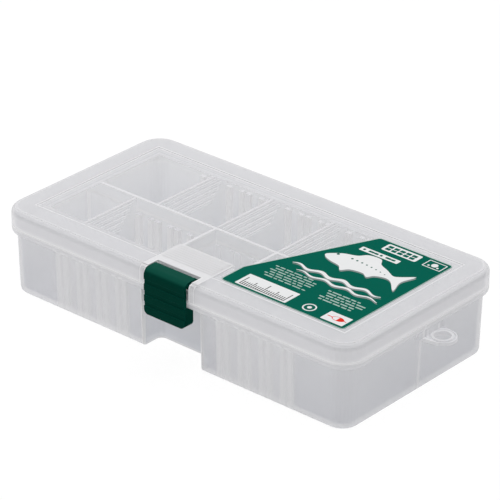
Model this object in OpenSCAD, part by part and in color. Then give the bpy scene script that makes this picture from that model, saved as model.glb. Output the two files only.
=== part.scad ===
// Pocket fly box: a moulded tray with ten compartments, a hinged clear lid,
// a swinging front latch, lift-out dividers and a hang loop on the right end.
// Millimetres. +X along the length, -Y to the latch, +Z up.
// The origin is the centre of the tray's underside.

/* [Case] */
// Length of the lid, the longest moulding
case_l = 214; // [200:1:230]
// Width of the lid from front to back
case_w = 111; // [108:1:120]
// Height of the closed case
case_h = 45; // [44:0.5:50]
// Radius of the upright corners
corner_r = 12.5; // [10:0.5:16]
// Height of the joint between the tray and the lid
parting_z = 35.5; // [34.5:0.5:36.5]

/* [Tray] */
// Thickness of the tray's walls
wall_t = 1.8; // [1.4:0.1:2]
// Thickness of the tray's floor
floor_t = 1.8; // [1.4:0.1:2.5]
// How far the wall stands in from the lid's edge at its top
wall_inset = 2.4; // [2.3:0.1:2.6]
// How much further in the wall stands at its foot
wall_draft = 0.95; // [0.5:0.05:1.5]
// Fillet round the foot of the wall
foot_r = 2.4; // [1:0.2:4]
// Radius of the quarter round under the flange
flange_r = 2.5; // [1.5:0.1:3]

/* [Compartments] */
// Thickness of the fixed partitions
partition_t = 1.5; // [1:0.1:2]
// Distance from one divider slot to the next
slot_pitch = 12.6; // [12:0.1:13]
// Width of a divider slot
slot_w = 1.7; // [1.6:0.1:2.2]
// Width of each rib beside a slot
rib_w = 2.8; // [2:0.1:3.2]
// How far a rib stands out of its wall
rib_depth = 2.1; // [1.5:0.1:3]
// Height of the ribs' tops
rib_top_z = 34; // [30:1:36]
// Thickness of a lift-out divider
divider_t = 1.3; // [1:0.1:1.5]
// Number of raised grip lines on a divider
grip_lines = 5; // [3:1:6]

/* [Lid] */
// Thickness of the lid's top and of its panel
lid_t = 1.8; // [1.5:0.1:1.8]
// Rounding of the lid's top edge
lid_edge_r = 2.6; // [1.5:0.1:3]
// Width of the border round the clear panel
border_w = 12.4; // [10:0.1:14]
// How far the clear panel is sunk
panel_sink = 0.5; // [0.2:0.1:0.8]
// Number of ridges on the thumb grip
ridge_n = 8; // [5:1:10]

/* [Latch] */
// Width of the latch
latch_w = 25; // [22:0.5:28]
// Height of the latch's lower edge
latch_foot_z = 21.8; // [20:0.2:24]
// Thickness of the latch's front plate
latch_t = 1.5; // [1.2:0.1:1.8]
// Depth of the finger recess in the front wall
recess_depth = 12.7; // [10:0.1:14]

/* [Hang loop] */
// Radius of the hang loop's hole
loop_hole_r = 4.1; // [3:0.1:4.5]
// Width of the hang loop round its hole
loop_rim = 2.7; // [2:0.1:3]
// How far the hang loop reaches past the lid's end
loop_reach = 11.2; // [9:0.2:12]

/* [Hidden] */
$fn = 64;

clear_tint = [0.80, 0.82, 0.85, 0.45];
milky_tint = [0.84, 0.85, 0.87, 0.6];
green = [0.0, 0.42, 0.32];

parting_gap = 0.1;                        // half of the gap between tray and lid
rest_clear = 0.25;                        // play of a divider in its slots
layer = 0.01;                             // thickness of a hull's guide layers

wall_top_z = case_h - panel_sink - lid_t - 0.7;
partition_top_z = wall_top_z - 0.2;
flange_bottom_z = parting_z - parting_gap - flange_r - 1.3;
inner_l = case_l - 2 * (wall_inset + wall_t);
inner_w = case_w - 2 * (wall_inset + wall_t);

// Slots are counted from the middle in half steps of the pitch
back_slots = [-5.5 : 1 : 5.5];
front_slots = [-5.5, -4.5, -3.5, -2.5, 2.5, 3.5, 4.5, 5.5];
back_dividers = [-4.5, -1.5, 1.5, 4.5];
front_dividers = [-5.5, 4.5];
cross_x = 1.5 * slot_pitch;               // the two fixed cross walls

recess_half = 18.3;
recess_wall = 1.7;
recess_back_y = -(case_w / 2 - wall_inset - wall_draft) + recess_depth;
recess_top_z = flange_bottom_z;

notch_half = latch_w / 2 + 0.9;           // the lid's opening round the latch
notch_back_y = -case_w / 2 + 8.9;
pivot_y = -case_w / 2 + 5.5;
pivot_z = case_h - 2.8;
hub_r = 3;
latch_pin_r = 1.15;
latch_bore_r = latch_pin_r + 0.07;
cheek_t = 2.2;
pocket_floor_z = pivot_z - hub_r - 1.3;
wall_dip_z = pivot_z - hub_r - 0.7;       // the front wall ducks under the hub
latch_front_y = -case_w / 2 - 1.8;
latch_rear_y = -case_w / 2 + 4.4;
hook_r = 11.2;                            // hook's top face, round the pivot

hinge_y = case_w / 2 + 2.5;
hinge_z = parting_z;
hinge_r = 2.35;
hinge_pin_r = 1.1;
hinge_bore_r = hinge_pin_r + 0.07;
hinge_x = 58;                             // centre of each hinge
barrel_l = 16;
ear_l = 5;
ear_gap = 0.3;

loop_y = 7;
loop_x = case_l / 2 + loop_reach - loop_hole_r - loop_rim;
loop_z = 27.8;
loop_t = 1.6;
loop_ring_h = 2.2;
loop_root_half = 8.1;

label_t = 0.12;
label_z = case_h - panel_sink;

// ---------------------------------------------------------------- shared forms

// Flat rectangle with four round corners
module round_rect(l, w, r) {
    square([l - 2 * r, w], center = true);
    square([l, w - 2 * r], center = true);
    for (x = [-1, 1], y = [-1, 1])
        translate([x * (l / 2 - r), y * (w / 2 - r)])
            circle(r);
}

// The case's outline, drawn in by an inset, as a slab from z0 to z1
module case_slab(inset, z0, z1) {
    translate([0, 0, z0])
        linear_extrude(z1 - z0)
            round_rect(case_l - 2 * inset, case_w - 2 * inset, corner_r - inset);
}

// Thin guide layer for the drafted and rounded forms
module case_layer(inset, z) {
    case_slab(inset, z, z + layer, $fn = 32);
}

// Box given by its low and high corners
module span(low, high) {
    translate(low)
        cube(high - low);
}

// Cylinder lying along X, centred on x
module rod_x(x, y, z, r, l) {
    translate([x - l / 2, y, z])
        rotate([0, 90, 0])
            cylinder(h = l, r = r);
}

// ------------------------------------------------------------------------ tray

// Outside of the tray's wall, wider at the top and rounded at the foot
module tub_form() {
    foot_inset = wall_inset + wall_draft;
    hull() {
        for (a = [0 : 30 : 90])
            case_layer(foot_inset + foot_r * (1 - cos(a)), foot_r * (1 - sin(a)));
        case_layer(wall_inset, wall_top_z - layer);
    }
}

// Space inside the tray's walls, with the same draft and a fillet at the floor
module tub_space() {
    foot_inset = wall_inset + wall_draft + wall_t;
    fillet = foot_r - 1;
    hull() {
        for (a = [0 : 30 : 90])
            case_layer(foot_inset + fillet * (1 - cos(a)), floor_t + fillet * (1 - sin(a)));
        case_layer(wall_inset + wall_t, wall_top_z + 1);
    }
}

// Flange that the lid's skirt lands on, rounded underneath
module flange_form() {
    hull() {
        for (a = [0 : 18 : 90])
            case_layer(flange_r * (1 - cos(a)), flange_bottom_z + flange_r * (1 - sin(a)));
        case_layer(0, parting_z - parting_gap - layer);
    }
}

// Two ribs with a divider slot between them, standing out of a wall at y
module slot_ribs(x, y) {
    for (side = [-1, 1])
        translate([x + side * (slot_w + rib_w) / 2, y, (floor_t + rib_top_z) / 2 - 1])
            cube([rib_w, 2 * rib_depth, rib_top_z - floor_t + 2], center = true);
}

// Everything that stands between the tray's walls
module tray_fittings() {
    half = partition_t / 2;
    span([-case_l / 2, -half, 0], [case_l / 2, half, partition_top_z]);
    for (side = [-1, 1])
        span([side * cross_x - half, -case_w / 2, 0], [side * cross_x + half, 0, partition_top_z]);
    recess_housing();
    for (i = back_slots) {
        slot_ribs(i * slot_pitch, half);
        slot_ribs(i * slot_pitch, inner_w / 2);
    }
    for (i = front_slots) {
        slot_ribs(i * slot_pitch, -half);
        slot_ribs(i * slot_pitch, -inner_w / 2);
    }
}

// Upright prism whose two rear corners are round, used for the finger recess
module recess_prism(half, back_y, r, z0, z1) {
    front_y = -case_w / 2 - 2;
    translate([0, 0, z0])
        linear_extrude(z1 - z0) {
            translate([-half, front_y])
                square([2 * half, back_y - r - front_y]);
            translate([-half + r, front_y])
                square([2 * (half - r), back_y - front_y]);
            for (side = [-1, 1])
                translate([side * (half - r), back_y - r])
                    circle(r);
        }
}

// Walls and roof round the finger recess
module recess_housing() {
    recess_prism(recess_half + recess_wall, recess_back_y + recess_wall, 3 + recess_wall,
                 0, recess_top_z + recess_wall);
}

// Flat tapering tab with a raised ring, moulded on the right end wall
module hang_loop() {
    wall_x = case_l / 2 - wall_inset - wall_draft / 2;
    ring_r = loop_hole_r + 1.3;
    translate([0, loop_y, loop_z - loop_t / 2])
        linear_extrude(loop_t)
            hull() {
                translate([wall_x - 0.8, -loop_root_half])
                    square([1, 2 * loop_root_half]);
                translate([loop_x, 0])
                    circle(loop_hole_r + loop_rim);
            }
    translate([loop_x, loop_y, loop_z - loop_ring_h / 2])
        cylinder(h = loop_ring_h, r = ring_r);
    span([wall_x - 0.8, loop_y - 11.3, loop_z + loop_t / 2 - 0.1],
         [wall_x + 1.9, loop_y + 7.8, flange_bottom_z + 1.2]);
}

// Ears with bores that carry the lid's hinge pins
module hinge_ears() {
    for (group = [-1, 1], side = [-1, 1]) {
        x = group * hinge_x + side * (barrel_l / 2 + ear_gap + ear_l / 2);
        rod_x(x, hinge_y, hinge_z, hinge_r, ear_l);
        span([x - ear_l / 2, case_w / 2 - 1.2, hinge_z - 1.9],
             [x + ear_l / 2, hinge_y, hinge_z - parting_gap]);
    }
}

module tray() {
    color(milky_tint)
        difference() {
            union() {
                tub_form();
                flange_form();
                hang_loop();
                hinge_ears();
            }
            difference() {
                tub_space();
                tray_fittings();
            }
            recess_prism(recess_half, recess_back_y, 3, -1, recess_top_z);
            span([-notch_half - cheek_t - 1.4, -case_w / 2 - 1, wall_dip_z],
                 [notch_half + cheek_t + 1.4, recess_back_y - 3, case_h]);
            translate([loop_x, loop_y, loop_z - loop_ring_h])
                cylinder(h = 2 * loop_ring_h, r = loop_hole_r);
            for (group = [-1, 1])
                rod_x(group * hinge_x, hinge_y, hinge_z, hinge_bore_r, barrel_l + 3 * ear_l);
        }
}

// -------------------------------------------------------------------- dividers

// Lift-out plate at slot i; row is 1 behind the partition and -1 in front of it
module divider(i, row) {
    root = partition_t / 2 + rest_clear;
    foot_end = case_w / 2 - wall_inset - wall_draft - wall_t - 2.2;
    top_end = inner_w / 2 - rest_clear - 0.15;
    line_pitch = 2.6;
    line_h = 1.3;
    line_rise = 0.35;
    color(clear_tint)
        translate([i * slot_pitch, 0, 0])
            union() {
                rotate([90, 0, 90])
                    translate([0, 0, -divider_t / 2])
                        linear_extrude(divider_t)
                            polygon([[row * root, floor_t], [row * foot_end, floor_t],
                                     [row * (foot_end + 1.4), floor_t + 1.6],
                                     [row * top_end, partition_top_z - 1],
                                     [row * (top_end - 1), partition_top_z],
                                     [row * root, partition_top_z]]);
                for (k = [0 : grip_lines - 1]) {
                    z = partition_top_z - 1.2 - k * line_pitch;
                    step = 1.2 + rib_depth + k * 2.2;
                    y0 = row * (root + step);
                    y1 = row * (top_end - step);
                    span([-divider_t / 2 - line_rise, min(y0, y1), z - line_h],
                         [divider_t / 2 + line_rise, max(y0, y1), z]);
                }
            }
}

// ------------------------------------------------------------------------- lid

// Outside of the lid, with its rounded top edge
module lid_form() {
    shoulder_z = case_h - 0.25;
    hull() {
        case_layer(0, parting_z + parting_gap);
        for (a = [0 : 18 : 90])
            case_layer(lid_edge_r * (1 - cos(a)),
                       shoulder_z - layer - lid_edge_r * (1 - sin(a)));
    }
}

// Cheeks, rear wall and floor of the pocket that the latch turns in
module latch_pocket() {
    roof_z = case_h - 0.6;
    floor_top_z = pocket_floor_z + 1;
    side_x = notch_half + cheek_t;
    for (side = [-1, 1])
        span([side * (notch_half + cheek_t / 2) - cheek_t / 2, -case_w / 2 + 0.7, floor_top_z],
             [side * (notch_half + cheek_t / 2) + cheek_t / 2, notch_back_y + 1.4, roof_z]);
    span([-side_x, notch_back_y, pocket_floor_z], [side_x, notch_back_y + 1.4, roof_z]);
    span([-side_x, -case_w / 2 + wall_inset + wall_t + 0.35, pocket_floor_z],
         [side_x, notch_back_y + 1.4, floor_top_z + 0.01]);
}

// Thumb grip behind the latch: a low platform with ridges along X
module thumb_grip() {
    grip_half = 16.8;
    y0 = -case_w / 2 + border_w + 0.2;
    y1 = y0 + 15.8;
    top_z = case_h - 0.1;
    ridge_pitch = (y1 - y0 - 1.6) / ridge_n;
    span([-grip_half, y0 - 0.6, label_z - 0.5], [grip_half, y1 - 2, top_z]);
    span([-grip_half + 2, y0 - 0.6, label_z - 0.5], [grip_half - 2, y1, top_z]);
    for (side = [-1, 1])
        translate([side * (grip_half - 2), y1 - 2, label_z - 0.5])
            cylinder(h = top_z - label_z + 0.5, r = 2);
    for (k = [0 : ridge_n - 1])
        rod_x(0, y0 + 0.8 + (k + 0.5) * ridge_pitch, top_z - 0.25, 0.6, 2 * grip_half - 3);
}

// Barrels with pins at their ends, on webs from the rear skirt
module hinge_barrels() {
    for (group = [-1, 1]) {
        x = group * hinge_x;
        rod_x(x, hinge_y, hinge_z, hinge_r, barrel_l);
        rod_x(x, hinge_y, hinge_z, hinge_pin_r, barrel_l + 2 * ear_gap + 2 * ear_l - 1);
        span([x - barrel_l / 2, case_w / 2 - 1.2, parting_z + parting_gap],
             [x + barrel_l / 2, hinge_y, parting_z + 2]);
    }
}

module lid() {
    skirt_t = 1.8;
    panel_l = case_l - 2 * border_w + 0.6;
    panel_w = case_w - 2 * border_w - 0.2;
    color(milky_tint)
        difference() {
            union() {
                difference() {
                    union() {
                        lid_form();
                        case_slab(2.3, case_h - 1, case_h);
                    }
                    case_slab(skirt_t, parting_z - 1, case_h - panel_sink - lid_t);
                    span([-panel_l / 2, -panel_w / 2, case_h - panel_sink],
                         [panel_l / 2, panel_w / 2, case_h + 1]);
                    span([-notch_half, -case_w / 2 - 1, parting_z - 1],
                         [notch_half, notch_back_y, case_h + 1]);
                }
                latch_pocket();
                thumb_grip();
                hinge_barrels();
            }
            rod_x(0, pivot_y, pivot_z, latch_bore_r, 2 * (notch_half + cheek_t) + 2);
        }
}

// ----------------------------------------------------------------------- latch

// Side profile of the latch, drawn in Y and Z
module latch_profile() {
    bend_r = 3.6;
    top_z = pivot_z + hub_r;
    front = latch_front_y;
    difference() {
        union() {
            translate([front, latch_foot_z])
                square([latch_t, top_z - bend_r - latch_foot_z]);
            translate([front + bend_r, top_z - latch_t])
                square([pivot_y - front - bend_r, latch_t]);
            intersection() {
                translate([front + bend_r, top_z - bend_r])
                    difference() {
                        circle(bend_r);
                        circle(bend_r - latch_t);
                    }
                translate([front - 1, top_z - bend_r])
                    square([bend_r + 1, bend_r + 1]);
            }
            translate([pivot_y, pivot_z])
                circle(hub_r);
            // Lower block: bottom lip, hook ledge and the concave fillet over it
            translate([front, latch_foot_z])
                square([latch_rear_y - front, latch_t]);
            translate([front, pivot_z - hook_r - 2])
                square([latch_rear_y - front, 4]);
        }
        translate([pivot_y, pivot_z])
            difference() {
                circle(hook_r, $fn = 96);
                translate([-hook_r - 20, -hook_r - 1])
                    square([20 + hook_r - (pivot_y - front - latch_t), 2 * hook_r + 2]);
                circle(hub_r + 0.01);
                translate([-hook_r, 0.5])
                    square([2 * hook_r, hook_r]);
            }
        for (k = [0 : 2])
            translate([front - 0.5, case_h - 7.75 - 5.7 * k])
                square([0.95, 2.4]);
    }
}

// Side walls that close the hook block's ends
module latch_ends() {
    end_t = 1.4;
    block_top_z = pivot_z - hook_r + 0.1;
    for (side = [-1, 1])
        span([side * (latch_w - end_t) / 2 - end_t / 2, latch_front_y + 0.6, latch_foot_z],
             [side * (latch_w - end_t) / 2 + end_t / 2, latch_rear_y, block_top_z - 0.6]);
}

module latch() {
    lower_r = 2.5;
    color(green) {
        intersection() {
            union() {
                rotate([90, 0, 90])
                    translate([0, 0, -latch_w / 2])
                        linear_extrude(latch_w)
                            latch_profile();
                latch_ends();
            }
            translate([0, latch_front_y - 5, 0])
                rotate([-90, 0, 0])
                    linear_extrude(30) {
                        translate([-latch_w / 2 - 1, -case_h - 5])
                            square([latch_w + 2, case_h + 5 - latch_foot_z - lower_r]);
                        translate([-latch_w / 2 + lower_r, -case_h - 4])
                            square([latch_w - 2 * lower_r, case_h + 4 - latch_foot_z + 1]);
                        for (side = [-1, 1])
                            translate([side * (latch_w / 2 - lower_r), -latch_foot_z - lower_r])
                                circle(lower_r);
                    }
        }
        rod_x(0, pivot_y, pivot_z, latch_pin_r, latch_w + 2 * 0.9 + 2 * cheek_t - 1);
    }
}

// ----------------------------------------------------------------------- label

// Printed sticker on the clear panel, with one slanting side and round corners
module label() {
    r = 2;
    corners = [[22, -39], [22, -25.4], [50.3, 37.2], [90.2, 37.2], [90.2, -39]];
    color(green)
        translate([0, 0, label_z])
            linear_extrude(label_t)
                hull()
                    for (c = corners)
                        translate(c)
                            circle(r, $fn = 32);
}

tray();
lid();
latch();
label();
divider(back_dividers[0], 1);  // divider_back_1
divider(back_dividers[1], 1);  // divider_back_2
divider(back_dividers[2], 1);  // divider_back_3
divider(back_dividers[3], 1);  // divider_back_4
divider(front_dividers[0], -1);  // divider_front_1
divider(front_dividers[1], -1);  // divider_front_2
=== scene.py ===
"""Pocket fly box in clear moulded plastic: tray with compartments, hinged lid, green latch, printed label."""

import math

import bpy
from mathutils import Matrix, Vector
from mathutils.geometry import tessellate_polygon


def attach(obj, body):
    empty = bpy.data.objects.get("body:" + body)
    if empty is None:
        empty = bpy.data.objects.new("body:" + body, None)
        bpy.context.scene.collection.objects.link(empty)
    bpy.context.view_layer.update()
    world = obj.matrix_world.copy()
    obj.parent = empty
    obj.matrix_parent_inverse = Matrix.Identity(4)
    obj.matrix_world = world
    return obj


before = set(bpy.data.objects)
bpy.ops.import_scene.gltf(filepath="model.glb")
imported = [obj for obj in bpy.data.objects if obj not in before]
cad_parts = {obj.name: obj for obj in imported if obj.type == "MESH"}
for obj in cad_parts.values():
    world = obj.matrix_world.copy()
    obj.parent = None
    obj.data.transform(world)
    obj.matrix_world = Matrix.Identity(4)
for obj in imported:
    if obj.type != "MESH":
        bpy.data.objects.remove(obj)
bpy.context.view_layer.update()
MM = 0.001

# ---------------------------------------------------------------- camera
# The photographer's view: from the front right, a little above, with a long lens.
# The numbers are the pose that lays the case's real corners on the photograph's.

LOOK_AT = Vector((0, 0, 22)) * MM
AZIMUTH = math.radians(40.83)
ELEVATION = math.radians(27.314)
ROLL = math.radians(0.365)
DISTANCE = 1444.5 * MM
SLIDE_RIGHT = 1.86 * MM
SLIDE_UP = 13.03 * MM
FRAME_PX = 500
FOCAL_PX = 3064.7
SENSOR_MM = 36

back = Vector(
    (
        math.sin(AZIMUTH) * math.cos(ELEVATION),
        -math.cos(AZIMUTH) * math.cos(ELEVATION),
        math.sin(ELEVATION),
    )
)
level_right = Vector((math.cos(AZIMUTH), math.sin(AZIMUTH), 0))
level_up = back.cross(level_right)
right = level_right * math.cos(ROLL) + level_up * math.sin(ROLL)
up = level_up * math.cos(ROLL) - level_right * math.sin(ROLL)

lens = bpy.data.cameras.new("camera")
lens.sensor_width = SENSOR_MM
lens.lens = SENSOR_MM * FOCAL_PX / FRAME_PX
lens.clip_start, lens.clip_end = 0.05, 20
camera = bpy.data.objects.new("camera", lens)
place = LOOK_AT + back * DISTANCE + right * SLIDE_RIGHT + up * SLIDE_UP
camera.matrix_world = Matrix.Translation(place) @ Matrix((right, up, back)).transposed().to_4x4()
bpy.context.collection.objects.link(camera)
bpy.context.scene.camera = camera
bpy.context.scene.view_settings.view_transform = "Standard"


# ---------------------------------------------------------------- studio
# A pale table in a white room with large soft lamps. The table and the room are white to the
# eye and through the plastic, and the table keeps a faint shadow under the case.


class Value:
    """A socket of a material that can stand in a sum."""

    def __init__(self, finish, socket):
        self.finish, self.socket = finish, socket

    def join(self, operation, other=0.0, turned=False):
        first, second = (other, self) if turned else (self, other)
        return self.finish.add("ShaderNodeMath", {"operation": operation}, {0: first, 1: second})

    def __add__(self, other):
        return self.join("ADD", other)

    __radd__ = __add__

    def __sub__(self, other):
        return self.join("SUBTRACT", other)

    def __rsub__(self, other):
        return self.join("SUBTRACT", other, turned=True)

    def __mul__(self, other):
        return self.join("MULTIPLY", other)

    __rmul__ = __mul__

    def __truediv__(self, other):
        return self.join("DIVIDE", other)

    def __rtruediv__(self, other):
        return self.join("DIVIDE", other, turned=True)

    def __abs__(self):
        return self.join("ABSOLUTE")

    def larger(self, other):
        return self.join("MAXIMUM", other)

    def fraction(self):
        return self.join("FRACT")

    def root(self):
        return self.join("SQRT")

    def held(self):
        """The same, kept between 0 and 1."""
        return self.finish.add("ShaderNodeClamp", values={"Value": self})


class Finish:
    """A node tree, of a material or of the world, that is built up by add()."""

    def __init__(self, owner, output_kind="ShaderNodeOutputMaterial"):
        owner.use_nodes = True
        self.owner, self.tree = owner, owner.node_tree
        self.tree.nodes.clear()
        self.output = self.tree.nodes.new(output_kind)

    def add(self, kind, settings=None, values=None, out=0):
        """A new node. The settings are its own choices, and the values go into its inputs."""
        node = self.tree.nodes.new(kind)
        for name, setting in (settings or {}).items():
            setattr(node, name, setting)
        for name, value in (values or {}).items():
            if isinstance(value, Value):
                self.tree.links.new(value.socket, node.inputs[name])
            else:
                node.inputs[name].default_value = value
        return Value(self, node.outputs[out])

    def blend(self, share, colour, other_colour):
        return self.add("ShaderNodeMix", {"data_type": "RGBA"}, {0: share, 6: colour, 7: other_colour}, out=2)

    def surface(self, shader):
        self.tree.links.new(shader.socket, self.output.inputs["Surface"])
        return self.owner


def seen_straight(finish):
    """1 for the eye, for a mirror image and for what shows through clear plastic, and 0 for the rest."""
    kinds = ("Is Camera Ray", "Is Glossy Ray", "Is Transmission Ray")
    eye, mirror, through = (finish.add("ShaderNodeLightPath", out=kind) for kind in kinds)
    return (eye + mirror + through).held()


WHITE = (1, 1, 1, 1)
ROOM_LIGHT = 0.52
FLOOR_SIZE = 6.0
FLOOR_GAP = 0.05
FLOOR_PAINT = (0.9, 0.9, 0.9, 1)
FLOOR_GLOW = 1.035
FLOOR_SHADOW = 0.13

room = bpy.data.worlds.new("white room")
bpy.context.scene.world = room
room_finish = Finish(room, "ShaderNodeOutputWorld")
white_room = room_finish.add("ShaderNodeBackground", values={"Color": WHITE, "Strength": 1.0})
dim_room = room_finish.add("ShaderNodeBackground", values={"Color": WHITE, "Strength": ROOM_LIGHT})
room_finish.surface(
    room_finish.add("ShaderNodeMixShader", values={0: seen_straight(room_finish), 1: dim_room, 2: white_room})
)

floor_mesh = bpy.data.meshes.new("floor")
half = FLOOR_SIZE / 2
floor_corners = [(-half, -half, 0), (half, -half, 0), (half, half, 0), (-half, half, 0)]
floor_mesh.from_pydata(floor_corners, [], [(0, 1, 2, 3)])
floor = bpy.data.objects.new("floor", floor_mesh)
bpy.context.collection.objects.link(floor)
floor.location.z = -FLOOR_GAP * MM
paint = Finish(bpy.data.materials.new("pale table"))
matt = paint.add("ShaderNodeBsdfDiffuse", values={"Color": FLOOR_PAINT})
glow = paint.add("ShaderNodeEmission", values={"Color": WHITE, "Strength": FLOOR_GLOW})
share = seen_straight(paint) * (1 - FLOOR_SHADOW)
table_top = paint.add("ShaderNodeMixShader", values={0: share, 1: matt, 2: glow})
floor_mesh.materials.append(paint.surface(table_top))


def soft_lamp(name, location, size, watts):
    lamp = bpy.data.lights.new(name, "AREA")
    lamp.shape, lamp.size, lamp.energy = "SQUARE", size, watts
    holder = bpy.data.objects.new(name, lamp)
    holder.location = location
    holder.rotation_euler = (-Vector(location)).to_track_quat("-Z", "Y").to_euler()
    bpy.context.collection.objects.link(holder)


soft_lamp("overhead", (-0.12, 0.2, 1.2), 1.15, 8.3)
soft_lamp("front left", (-0.9, -0.7, 0.57), 0.6, 1.2)


# ---------------------------------------------------------------- tray
# The tray is one injection moulding in natural polypropylene, milky with a satin skin. Where
# ribs and partitions meet the walls, and along every rim, the plastic is thick and reads lighter.
# Its inside skins carry painted light that turns to a darker, bluer painted shade towards the
# floor, and its level faces are painted darker.

NATURAL = (0.68, 0.679, 0.713, 1)
# Painted light on the inside skins, and painted shade that darkens and blues them deep down.
PAINTED_LIGHT_INSIDE = (0.91, 0.915, 0.94, 1)
PAINTED_SHADE_DEEP = (0.73, 0.742, 0.79, 1)
# Colour of thick plastic, and of the painted highlights on the lid.
MILK_AND_HIGHLIGHT = (0.885, 0.882, 0.893, 1)
MOST_MILK = 0.94
LIGHT_LET_THROUGH = 0.93
SKIN_CLEAR, INNER_CLEAR = 0.5, 0.2

PARTITION_TOP = 41.8
RIM_HIGH = 0.7
WALL_FOOT = 1.0
FLANGE_UNDER = 31.6
FLANGE_TOP = 35.4
END_WALL_X, SIDE_WALL_Y = 100, 48.5
SEAM_HALF = 0.55
SLOT_PITCH = 12.6
RIB_FROM_SLOT, RIB_HALF = 2.25, 1.4
RIBS_FROM_Y, MIDDLE_RIBS_TO_Y = 46, 3.2
OUTER_SKIN = 3.75
CASE_HALF_X, CASE_HALF_Y, CORNER_R = 107, 55.5, 12.5
RIB_TOP = 34
LAST_RIB_X = 73.6
RECESS_X, RECESS_FRONT_Y = 18.3, -50
FRONT_RIBS_FROM_X = 27.6
LOOP_X, LOOP_Y, LOOP_HOLE, LOOP_RIM = 111.4, 7, 4.1, 2.7
LOOP_FROM_X = 104.9
TOP_MILK, FOOT_MILK, FLANGE_MILK = 0.5, 0.7, 0.7
COLLAR_MILK, SEAM_MILK, RIB_MILK = 0.45, 0.65, 0.85
WALL_MILK, BAND_MILK = 0.4, 0.28
HOLE_MILK, LOOP_MILK, LOOP_SIDE_MILK = 0.5, 0.4, 0.15
# Share of the darker outside tint painted on level faces below the rims: painted shade.
LEVEL_PAINTED_SHADE = 0.8
TRAY_ROUGH = 0.42
bpy.context.scene.cycles.transparent_max_bounces = 48


def measures(finish):
    """The place on the case along its length, from front to back, and up, in millimetres."""
    place = finish.add("ShaderNodeTexCoord", out="Object")
    scaled = finish.add("ShaderNodeVectorMath", {"operation": "SCALE"}, {0: place, "Scale": 1 / MM})
    return [finish.add("ShaderNodeSeparateXYZ", values={"Vector": scaled}, out=axis) for axis in "XYZ"]


def near(measure, centre, half, soft=0.4):
    """1 within half of the centre, fading to 0 over soft."""
    return ((half + soft - abs(measure - centre)) / soft).held()


def over(measure, level, soft=0.4):
    return ((measure - level) / soft + 0.5).held()


def under(measure, level, soft=0.4):
    return ((level - measure) / soft + 0.5).held()


def depth_inside(x, y):
    """How far a place lies in from the case's outline, up to the corner radius."""
    out_x = (abs(x) - (CASE_HALF_X - CORNER_R)).larger(0)
    out_y = (abs(y) - (CASE_HALF_Y - CORNER_R)).larger(0)
    return CORNER_R - (out_x * out_x + out_y * out_y).root()


def upward(finish, direction):
    """How much a direction points up, from -1 to 1."""
    return finish.add("ShaderNodeSeparateXYZ", values={"Vector": direction}, out="Z")


def thickest(*shares):
    """The largest of several shares at each place."""
    most = shares[0]
    for share_there in shares[1:]:
        most = most.larger(share_there)
    return most


def inside_painted_light_and_shade(finish, z):
    """The inside skins with painted light, turning to a darker, bluer painted shade towards the floor."""
    return finish.blend(over(z, 18, 30), PAINTED_SHADE_DEEP, PAINTED_LIGHT_INSIDE)


def let_light_past(finish, shader, share):
    """Lets lamps and the room light what is under a thin skin."""
    lamp_ray = finish.add("ShaderNodeLightPath", out="Is Shadow Ray")
    soft_ray = finish.add("ShaderNodeLightPath", out="Is Diffuse Ray")
    clear = finish.add("ShaderNodeBsdfTransparent")
    return finish.add("ShaderNodeMixShader", values={0: (lamp_ray + soft_ray) * share, 1: shader, 2: clear})


def polypropylene(finish, tint, milk_and_highlight, clearness, roughness, facing):
    """Satin natural polypropylene. Clearness is the share of light that passes one skin of it.
    The milk share is 1 where the plastic is thicker and gathers light, and on the lid also where
    a painted highlight lies."""
    place = finish.add("ShaderNodeTexCoord", out="Object")
    flow = finish.add("ShaderNodeTexNoise", values={"Vector": place, "Scale": 38.0, "Detail": 2.0})
    grain = finish.add("ShaderNodeTexNoise", values={"Vector": place, "Scale": 900.0, "Detail": 1.0})
    open_share = (1 - clearness) * (0.94 + 0.12 * flow)
    body = finish.add(
        "ShaderNodeBsdfPrincipled",
        values={
            "Base Color": finish.blend(milk_and_highlight, tint, MILK_AND_HIGHLIGHT),
            "Roughness": roughness + (flow - 0.5) * 0.06,
            "Alpha": open_share + milk_and_highlight * (MOST_MILK - open_share),
            "IOR": 1.49,
            "Specular IOR Level": 0.25,
            "Normal": finish.add(
                "ShaderNodeBump",
                values={"Strength": 0.015, "Distance": 0.1 * MM, "Height": grain, "Normal": facing},
            ),
        },
    )
    return let_light_past(finish, body, LIGHT_LET_THROUGH)


def dress(node, material):
    """Gives a moulded piece its finish and smooths its round corners."""
    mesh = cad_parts[node].data
    mesh.materials.clear()
    mesh.materials.append(material)
    mesh.shade_smooth()
    mesh.set_sharp_from_angle(angle=math.radians(38))


tray_finish = Finish(bpy.data.materials.new("milky plastic"))
x, y, z = measures(tray_finish)
from_middle = abs(x)
tray_facing = tray_finish.add("ShaderNodeNewGeometry", out="Normal")
level_face = over(abs(upward(tray_finish, tray_facing)), 0.7)
top_rims = over(z, PARTITION_TOP - RIM_HIGH) * TOP_MILK
foot = under(z, WALL_FOOT) * FOOT_MILK
flange_rim = near(z, FLANGE_TOP, 0.5, 0.5) * FLANGE_MILK
past_walls = over(from_middle, END_WALL_X).larger(over(abs(y), SIDE_WALL_Y))
collar = over(z, FLANGE_UNDER + 1, 1.2) * past_walls * COLLAR_MILK
seam = near(y, 0, SEAM_HALF, 0.7) * over(from_middle, END_WALL_X) * SEAM_MILK
from_slot = abs((x / SLOT_PITCH).fraction() - 0.5) * SLOT_PITCH
clear_of_recess = over(y, 0).larger(over(from_middle, FRONT_RIBS_FROM_X))
ribbed = under(from_middle, LAST_RIB_X) * under(z, RIB_TOP - 0.2, 0.2) * clear_of_recess
outside = under(depth_inside(x, y), OUTER_SKIN, 0.1)
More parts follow.
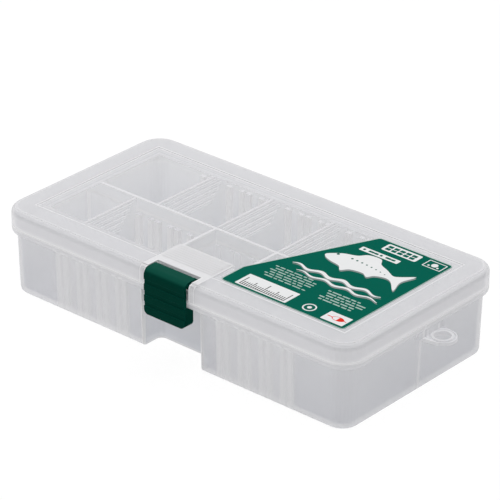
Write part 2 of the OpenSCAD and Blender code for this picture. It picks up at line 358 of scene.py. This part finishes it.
beside_wall = over(abs(y), RIBS_FROM_Y).larger(under(abs(y), MIDDLE_RIBS_TO_Y)) * (1 - outside)
ribs = ribbed * beside_wall * near(from_slot, RIB_FROM_SLOT, RIB_HALF, 0.5) * RIB_MILK
rib_bands = ribbed * outside * (WALL_MILK + BAND_MILK * near(from_slot, RIB_FROM_SLOT, 0.7, 1.3))
recess_edge = near(from_middle, RECESS_X, 0.3) * under(y, RECESS_FRONT_Y) * under(z, FLANGE_UNDER)
from_hole = ((x - LOOP_X) * (x - LOOP_X) + (y - LOOP_Y) * (y - LOOP_Y)).root()
hole_rim = near(from_hole, LOOP_HOLE + 0.6, 0.5, 0.3) * HOLE_MILK
loop_rim = near(from_hole, LOOP_HOLE + LOOP_RIM, 0.4, 0.3) * LOOP_MILK
loop_marks = thickest(hole_rim, loop_rim, (1 - level_face) * LOOP_SIDE_MILK)
loop = over(x, LOOP_FROM_X, 0.2) * loop_marks * under(z, FLANGE_UNDER - 0.2)
thick_tray = thickest(top_rims, foot, flange_rim, collar, seam, ribs, rib_bands, recess_edge, loop)
# Level faces are painted darker, towards the outside tint: painted shade.
level_painted_shade = level_face * (LEVEL_PAINTED_SHADE + (1 - LEVEL_PAINTED_SHADE) * over(z, 30))
# The outer skin keeps its plain tint, and the inside skins take the painted light and shade.
tray_tint = tray_finish.blend(outside.larger(level_painted_shade), inside_painted_light_and_shade(tray_finish, z), NATURAL)
tray_clearness = INNER_CLEAR + outside * (SKIN_CLEAR - INNER_CLEAR)
tray_finish.surface(
    polypropylene(tray_finish, tray_tint, thick_tray, tray_clearness, TRAY_ROUGH, tray_facing)
)
dress("tray", tray_finish.owner)


# ---------------------------------------------------------------- dividers
# Six loose plates of the same plastic, thinner and clearer, slid into the tray's slots. Their
# top edges and the raised grip lines on both faces are lighter than the plate, and their faces
# carry the same painted light and shade as the tray's inside.

DIVIDER_CLEAR, DIVIDER_ROUGH = 0.6, 0.38
RAISED_FACE = 0.36
GRIP_LINE_MILK = 0.45

divider_finish = Finish(bpy.data.materials.new("divider plastic"))
x, y, z = measures(divider_finish)
in_box = divider_finish.add("ShaderNodeTexCoord", out="Generated")
through_plate = divider_finish.add("ShaderNodeSeparateXYZ", values={"Vector": in_box}, out="X")
grip_line = over(through_plate - 0.5, RAISED_FACE, 0.04) * GRIP_LINE_MILK
thick_divider = (over(z, PARTITION_TOP - RIM_HIGH) * TOP_MILK).larger(grip_line)
top_edge = over(z, PARTITION_TOP - RIM_HIGH / 2, 0.2)
# Painted light and shade on the plate's faces, and the plain tint on its top edge.
divider_tint = divider_finish.blend(top_edge, inside_painted_light_and_shade(divider_finish, z), NATURAL)
divider_facing = divider_finish.add("ShaderNodeNewGeometry", out="Normal")
divider_finish.surface(
    polypropylene(
        divider_finish, divider_tint, thick_divider, DIVIDER_CLEAR, DIVIDER_ROUGH, divider_facing
    )
)
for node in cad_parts:
    if node.startswith("divider"):
        dress(node, divider_finish.owner)


# ---------------------------------------------------------------- lid
# The lid is one moulding too, hung on the tray by its hinge pins. Its sunk panel is polished and
# clear, and the border, the skirt and the ridged thumb grip are satin. Its rims read as light lines.
# The shoulder, the step round the panel, the grip's ridges and the notch's edges carry painted
# highlights, and the shoulder's upright faces painted light. The skirt is painted lighter than the
# top, and the pad over the latch pocket is painted darker as painted shade.

PANEL_HALF_X, PANEL_HALF_Y = 94.9, 43.0
SKIRT_FOOT, LID_TOP = 35.6, 45
SHOULDER_INSET = 2.5
GRIP_HALF, GRIP_FRONT, GRIP_BACK = 16.8, -42.9, -27.1
RIDGE_PITCH, FIRST_RIDGE = 1.775, 0.8
NOTCH_HALF, NOTCH_BACK = 13.4, -46
MILKY_EDGE = 3.2
BORDER_CLEAR, PANEL_CLEAR = 0.42, 0.95
LID_TINT = (0.655, 0.655, 0.678, 1)
# The skirt is painted lighter than the top: painted light.
SKIRT_PAINTED_LIGHT = (0.84, 0.838, 0.869, 1)
# Painted shade on the pad over the latch pocket.
PAD_PAINTED_SHADE = (0.56, 0.56, 0.585, 1)
# Painted highlights on the step and shoulder, and painted light on the shoulder's upright faces.
STEP_HIGHLIGHT, SHOULDER_HIGHLIGHT, UPRIGHT_PAINTED_LIGHT = 0.62, 0.3, 0.5
PAD_MILK, RIDGE_HIGHLIGHT, PAD_RIM_MILK = 0.65, 0.35, 0.5
PAD_LESS_CLEAR = 0.2
LID_ROUGH, PANEL_SMOOTHER = 0.42, 0.22

lid_finish = Finish(bpy.data.materials.new("lid plastic"))
x, y, z = measures(lid_finish)
inset = depth_inside(x, y)
past_panel = (abs(x) - PANEL_HALF_X).larger(abs(y) - PANEL_HALF_Y)
grip = under(abs(x), GRIP_HALF, 0.1) * under(y, GRIP_BACK, 0.1)
top_skin = over(z, LID_TOP - 1.5)
panel = under(past_panel, -MILKY_EDGE, 0.6) * (1 - grip)
skin_facing = lid_finish.add("ShaderNodeNewGeometry", out="Normal")
facing_on_lid = lid_finish.add("ShaderNodeTexCoord", out="Normal")
upright = under(abs(upward(lid_finish, facing_on_lid)), 0.5)
# Painted highlight along the step round the panel.
step_line = near(past_panel, 0, 0.4, 0.5) * (1 - grip) * top_skin * STEP_HIGHLIGHT
# Painted highlight along the shoulder, with painted light on its upright faces.
shoulder = SHOULDER_HIGHLIGHT + UPRIGHT_PAINTED_LIGHT * upright
shoulder_line = near(inset, SHOULDER_INSET, 0.4, 0.8) * top_skin * shoulder
skirt_line = under(z, SKIRT_FOOT + 0.6, 0.5) * under(inset, 2.2)
across_ridge = ((y - GRIP_FRONT - FIRST_RIDGE) / RIDGE_PITCH).fraction()
# Painted highlights on the ridge tops, which the pad's level normals shade flat.
ridge = near(across_ridge, 0.5, 0.16, 0.14) * over(z, LID_TOP - 0.15, 0.1) * grip * RIDGE_HIGHLIGHT
grip_rim = near(abs(x), GRIP_HALF, 0.3).larger(near(y, GRIP_BACK, 0.3)) * grip * PAD_RIM_MILK
# Painted highlight on the notch's edges.
notch_rim = near(abs(x), NOTCH_HALF + 0.3, 0.3, 0.3) * under(y, NOTCH_BACK)
pad = grip * over(z, LID_TOP - 0.6)
thick_and_highlit_lid = thickest(pad * PAD_MILK, step_line, shoulder_line, skirt_line, ridge, grip_rim, notch_rim)
lid_clearness = BORDER_CLEAR + panel * (PANEL_CLEAR - BORDER_CLEAR)
lid_clearness = lid_clearness - grip * over(z, LID_TOP - 1) * PAD_LESS_CLEAR
lid_roughness = LID_ROUGH - PANEL_SMOOTHER * panel
level_pad = grip * over(z, LID_TOP - 0.4, 0.3)
lid_up = lid_finish.add(
    "ShaderNodeVectorTransform",
    {"vector_type": "NORMAL", "convert_from": "OBJECT", "convert_to": "WORLD"},
    {"Vector": (0, 0, 1)},
)
lid_facing = lid_finish.add(
    "ShaderNodeMix", {"data_type": "VECTOR"}, {0: level_pad, 4: skin_facing, 5: lid_up}, out=1
)
# Painted light: the skirt is tinted lighter than the lid's top.
rim_tint = lid_finish.blend(over(z, LID_TOP - 2.5, 2), SKIRT_PAINTED_LIGHT, LID_TINT)
# The pad over the latch pocket is painted darker: painted shade.
lid_tint = lid_finish.blend(pad, rim_tint, PAD_PAINTED_SHADE)
lid_finish.surface(polypropylene(lid_finish, lid_tint, thick_and_highlit_lid, lid_clearness, lid_roughness, lid_facing))
dress("lid", lid_finish.owner)


# ---------------------------------------------------------------- latch
# The latch is a green moulding with a satin face, pinned into the lid's cheeks. Its top is painted
# lighter as painted light, and its edges and the lips of its three grooves carry a painted
# highlight.

GREEN = (0.0, 0.037, 0.025, 1)
# Painted light on the latch's top.
PAINTED_LIGHT_TOP_GREEN = (0.005, 0.071, 0.049, 1)
# Painted highlight on the latch's edges and groove lips.
EDGE_HIGHLIGHT_GREEN = (0.0, 0.08, 0.062, 1)
EDGE_R = 0.35
LATCH_ROUGH = 0.42

latch_finish = Finish(bpy.data.materials.new("green plastic"))
rounded = latch_finish.add("ShaderNodeBevel", {"samples": 6}, {"Radius": EDGE_R * MM})
latch_facing = latch_finish.add("ShaderNodeNewGeometry", out="Normal")
turn = latch_finish.add(
    "ShaderNodeVectorMath", {"operation": "DOT_PRODUCT"}, {0: rounded, 1: latch_facing}, out="Value"
)
# Painted highlight along the latch's edges and the lips of its grooves.
edge_highlight = ((0.97 - turn) * 5).held()
facing_on_latch = latch_finish.add("ShaderNodeTexCoord", out="Normal")
# Top faces are painted lighter: painted light from above.
top_face = over(upward(latch_finish, facing_on_latch), 0.6, 0.3)
latch_tint = latch_finish.blend(top_face, GREEN, PAINTED_LIGHT_TOP_GREEN)
place = latch_finish.add("ShaderNodeTexCoord", out="Object")
grain = latch_finish.add("ShaderNodeTexNoise", values={"Vector": place, "Scale": 1500.0, "Detail": 2.0})
latch_finish.surface(
    latch_finish.add(
        "ShaderNodeBsdfPrincipled",
        values={
            "Base Color": latch_finish.blend(edge_highlight, latch_tint, EDGE_HIGHLIGHT_GREEN),
            "Roughness": LATCH_ROUGH + 0.1 * grain,
            "Specular IOR Level": 0.01,
            "Normal": latch_finish.add(
                "ShaderNodeBump",
                values={"Strength": 0.05, "Distance": 0.1 * MM, "Height": grain, "Normal": rounded},
            ),
        },
    )
)
dress("latch", latch_finish.owner)


# ---------------------------------------------------------------- label
# A printed film stuck on the lid's panel, green with a fine mottle of ink. The print on it is
# laid down as thin layers: a leaping fish over waves, tiles, rules, a float and a bare ruler.

LABEL_GREEN = (0.0, 0.105, 0.071, 1)
LABEL_GREEN_THIN = (0.0, 0.115, 0.079, 1)
LABEL_TOP = 44.62
INK_FOOT = LABEL_TOP + 0.005
LIGHT_PAST_INK = 0.85
CUT_CORNERS = ((22, -39), (90.2, -39), (90.2, 37.2), (50.3, 37.2), (22, -25.4))
CUT_R = 2.0


def ink(name, colour, thin_colour):
    """Matt printing ink on clear film. It lies a little thinner in places."""
    finish = Finish(bpy.data.materials.new(name))
    place = finish.add("ShaderNodeTexCoord", out="Object")
    mottle = finish.add("ShaderNodeTexNoise", values={"Vector": place, "Scale": 260.0, "Detail": 3.0})
    screen = finish.add("ShaderNodeTexNoise", values={"Vector": place, "Scale": 2600.0, "Detail": 0.0})
    print_skin = finish.add(
        "ShaderNodeBsdfPrincipled",
        values={
            "Base Color": finish.blend(mottle, colour, thin_colour),
            "Roughness": 0.5 + 0.12 * mottle,
            "Specular IOR Level": 0.01,
            "Normal": finish.add(
                "ShaderNodeBump", values={"Strength": 0.03, "Distance": 0.02 * MM, "Height": screen}
            ),
        },
    )
    return finish.surface(let_light_past(finish, print_skin, LIGHT_PAST_INK))


def around(corners, reach, steps=6):
    """Outline that runs round a convex figure at a distance, with round corners."""
    points = []
    for i, corner in enumerate(corners):
        before, after = corners[i - 1], corners[(i + 1) % len(corners)]
        start = math.atan2(corner[1] - before[1], corner[0] - before[0]) - math.pi / 2
        end = math.atan2(after[1] - corner[1], after[0] - corner[0]) - math.pi / 2
        end += math.tau * (end < start)
        for k in range(steps + 1):
            turned = start + (end - start) * k / steps
            points.append((corner[0] + reach * math.cos(turned), corner[1] + reach * math.sin(turned)))
    return points


def disc(cx, cy, r, steps=32):
    turns = [math.tau * k / steps for k in range(steps)]
    return [(cx + r * math.cos(turn), cy + r * math.sin(turn)) for turn in turns]


def tile(x0, y0, x1, y1, r=0.4):
    return around(((x0 + r, y0 + r), (x1 - r, y0 + r), (x1 - r, y1 - r), (x0 + r, y1 - r)), r, steps=3)


def curve_through(points, steps=6):
    """Closed smooth outline through the given points."""
    n = len(points)
    outline = []
    for i in range(n):
        p0, p1, p2, p3 = (Vector(points[(i + k) % n]) for k in (-1, 0, 1, 2))
        for k in range(steps):
            t = k / steps
            heading = (p2 - p0) * t
            turning = (p0 * 2 - p1 * 5 + p2 * 4 - p3) * t * t
            easing = (p1 * 3 - p0 - p2 * 3 + p3) * t**3
            spot = (p1 * 2 + heading + turning + easing) / 2
            outline.append((spot.x, spot.y))
    return outline


def wave(x0, x1, y0, height, length, width, steps=72):
    """Ribbon that runs up and down like water, thinning to its ends."""
    spine = [x0 + (x1 - x0) * k / steps for k in range(steps + 1)]
    swell = [y0 + height * math.sin(math.tau * (s - x0) / length) for s in spine]
    half_width = [width / 2 * math.sin(math.pi * (k + 0.8) / (steps + 1.6)) ** 0.5 for k in range(steps + 1)]
    low = [(s, v - w) for s, v, w in zip(spine, swell, half_width)]
    high = [(s, v + w) for s, v, w in zip(spine, swell, half_width)]
    return low + high[::-1]


def moved(outline, dx, dy):
    return [(px + dx, py + dy) for px, py in outline]


def printed(name, material, shapes, rise):
    """Layer of ink on the label. A shape is an outline, or an outline with the holes in it."""
    points, faces = [], []
    for shape in shapes:
        loops = shape if isinstance(shape[0], list) else [shape]
        base = len(points)
        flat = [corner for loop in loops for corner in loop]
        count = len(flat)
        points += [(px * MM, py * MM, INK_FOOT * MM) for px, py in flat]
        points += [(px * MM, py * MM, (LABEL_TOP + rise) * MM) for px, py in flat]
        for a, b, c in tessellate_polygon([[Vector((px, py, 0)) for px, py in loop] for loop in loops]):
            (ax, ay), (bx, by), (cx, cy) = flat[a], flat[b], flat[c]
            if (bx - ax) * (cy - ay) < (by - ay) * (cx - ax):
                b, c = c, b
            faces.append((base + count + a, base + count + b, base + count + c))
            faces.append((base + c, base + b, base + a))
        start = base
        for loop in loops:
            area = sum(p[0] * q[1] - q[0] * p[1] for p, q in zip(loop, loop[1:] + loop[:1]))
            outward = (area > 0) == (loop is loops[0])
            for k in range(len(loop)):
                here, there = start + k, start + (k + 1) % len(loop)
                side = (here, there, there + count, here + count)
                faces.append(side if outward else side[::-1])
            start += len(loop)
    mesh = bpy.data.meshes.new(name)
    mesh.from_pydata(points, [], faces)
    mesh.materials.append(material)
    piece = bpy.data.objects.new(name, mesh)
    bpy.context.collection.objects.link(piece)
    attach(piece, "lid")
    return piece


green_ink = ink("green print", LABEL_GREEN, LABEL_GREEN_THIN)
white_ink = ink("white print", (0.84, 0.845, 0.85, 1), (0.80, 0.81, 0.815, 1))
grey_ink = ink("grey print", (0.26, 0.29, 0.29, 1), (0.22, 0.26, 0.255, 1))
pale_ink = ink("pale print", (0.42, 0.56, 0.51, 1), (0.34, 0.49, 0.44, 1))
red_ink = ink("red print", (0.78, 0.03, 0.015, 1), (0.70, 0.035, 0.02, 1))
dark_ink = ink("dark print", (0.035, 0.04, 0.04, 1), (0.055, 0.06, 0.06, 1))
dress("label", green_ink)

FISH = (
    (0.00, 0.00), (0.05, 0.07), (0.14, 0.14), (0.27, 0.19), (0.35, 0.29), (0.50, 0.30), (0.57, 0.19),
    (0.70, 0.12), (0.81, 0.06), (0.88, 0.11), (0.98, 0.24), (1.00, 0.23), (0.95, 0.01), (1.00, -0.19),
    (0.98, -0.21), (0.87, -0.08), (0.78, -0.05), (0.67, -0.11), (0.62, -0.20), (0.54, -0.15),
    (0.40, -0.18), (0.33, -0.27), (0.26, -0.18), (0.13, -0.13), (0.04, -0.07),
)
FISH_LONG, FISH_X, FISH_Y = 46, 40, 10
FISH_SLIM, FISH_ARCH = 0.78, 7
fish = curve_through(
    [
        (FISH_X + FISH_LONG * u, FISH_Y + FISH_LONG * FISH_SLIM * v + FISH_ARCH * u * (1 - u))
        for u, v in FISH
    ]
)
waves = [
    wave(34, 86, -6.5, 1.1, 13, 2.2),
    wave(40, 88, -11.0, 0.9, 13, 1.5),
]
SHADOW = (0.9, -1.1)
printed("print_shadow", grey_ink, [moved(shape, *SHADOW) for shape in [fish] + waves], 0.02)

scale_tile = tile(27, -39.2, 57, -28.2)
float_tile = tile(77.5, -39.2, 90, -31.0)
box_tile = tile(56, 30.6, 76, 37.4, 0.9)
dash_bar = tile(48.5, 23.6, 71, 27.2, 0.5)
RING_X, RING_Y = 68, -35
ring = [disc(RING_X, RING_Y, 3.4), disc(RING_X, RING_Y, 2.7)]
frame_mark = [tile(80, 30.6, 90.4, 37.4, 0.5), tile(80.5, 31.1, 89.9, 36.9, 0.4)]
white_shapes = [fish, *waves, scale_tile, float_tile, box_tile, dash_bar, ring, frame_mark]
white_shapes.append(disc(RING_X, RING_Y, 1.1))
white_shapes += [disc(85.2, 34, 1.7), disc(82.6, 32.6, 0.6), disc(87.8, 32.6, 0.6)]
printed("print_white", white_ink, white_shapes, 0.04)

cells = []
for column in range(5):
    for row in range(2):
        along, across = 3.5 * column, 2.5 * row
        cells.append(tile(57.4 + along, 31.6 + across, 60.2 + along, 33.6 + across, 0.3))
dashes = [tile(50 + 3.3 * k, 24.7, 50 + 3.3 * k + 1.4 + 0.9 * (k * 5 % 3), 26.1, 0.3) for k in range(6)]
fish_marks = [disc(FISH_X + 4.6, FISH_Y + 3.6, 0.8)]
fish_marks += [disc(FISH_X + 12.5 + 3.0 * k, FISH_Y + 4.2 - 0.05 * k * k, 0.62 - 0.04 * k) for k in range(8)]
printed("print_cells", green_ink, cells + dashes + fish_marks, 0.06)

rules = []
for row in range(6):
    place_x = 30.5 + 1.6 * (row % 2)
    for word in range(6):
        long = 2.0 + (row * 7 + word * 5) % 4 * 0.9
        rules.append(tile(place_x, -14.6 - 2.0 * row, place_x + long, -13.8 - 2.0 * row, 0.2))
        place_x += long + 0.8
for row in range(5):
    place_x = 64 + 1.1 * (row % 3)
    for word in range(5):
        long = 1.8 + (row * 3 + word * 7) % 4 * 1.1
        rules.append(tile(place_x, -17.4 - 2.1 * row, place_x + long, -16.5 - 2.1 * row, 0.2))
        place_x += long + 0.8
rules.append([around(CUT_CORNERS, CUT_R - 0.02), around(CUT_CORNERS, CUT_R - 0.35)])
printed("print_rules", pale_ink, rules, 0.03)

SCALE_LEFT, SCALE_FOOT = 28.8, -37.9
MARKS, MARK_PITCH, MARK_WIDE = 21, 1.3, 0.5
marks = []
for k in range(MARKS):
    mark_x = SCALE_LEFT + MARK_PITCH * k
    mark_long = 6.8 if k % 10 == 0 else 4.9 if k % 5 == 0 else 3.0
    marks.append(tile(mark_x, SCALE_FOOT, mark_x + MARK_WIDE, SCALE_FOOT + mark_long, 0.05))
scale_end = SCALE_LEFT + MARK_PITCH * (MARKS - 1) + MARK_WIDE
marks.append(tile(SCALE_LEFT, SCALE_FOOT - 0.4, scale_end, SCALE_FOOT, 0.05))
printed("print_scale", dark_ink, marks, 0.06)

FLOAT_X, FLOAT_Y, FLOAT_HALF = 84.6, -35.1, 2.3


def float_outline(scale, start, end, steps=16):
    """Part of the float's long oval body, which lies along the tile."""
    turns = [start + (end - start) * k / steps for k in range(steps + 1)]
    return [(FLOAT_X + 1.45 * scale * math.cos(t), FLOAT_Y + 0.8 * scale * math.sin(t)) for t in turns]


red_end = float_outline(FLOAT_HALF, -math.pi / 2, math.pi / 2)
rim = [float_outline(FLOAT_HALF, 0, math.tau)[:-1], float_outline(FLOAT_HALF - 0.3, 0, math.tau)[:-1]]
stem = tile(FLOAT_X + 3.3, FLOAT_Y - 0.25, FLOAT_X + 4.7, FLOAT_Y + 0.25, 0.1)
keel = tile(FLOAT_X - 6.0, FLOAT_Y - 0.25, FLOAT_X - 3.3, FLOAT_Y + 0.25, 0.1)
printed("print_float", red_ink, [red_end, rim, stem, keel], 0.06)
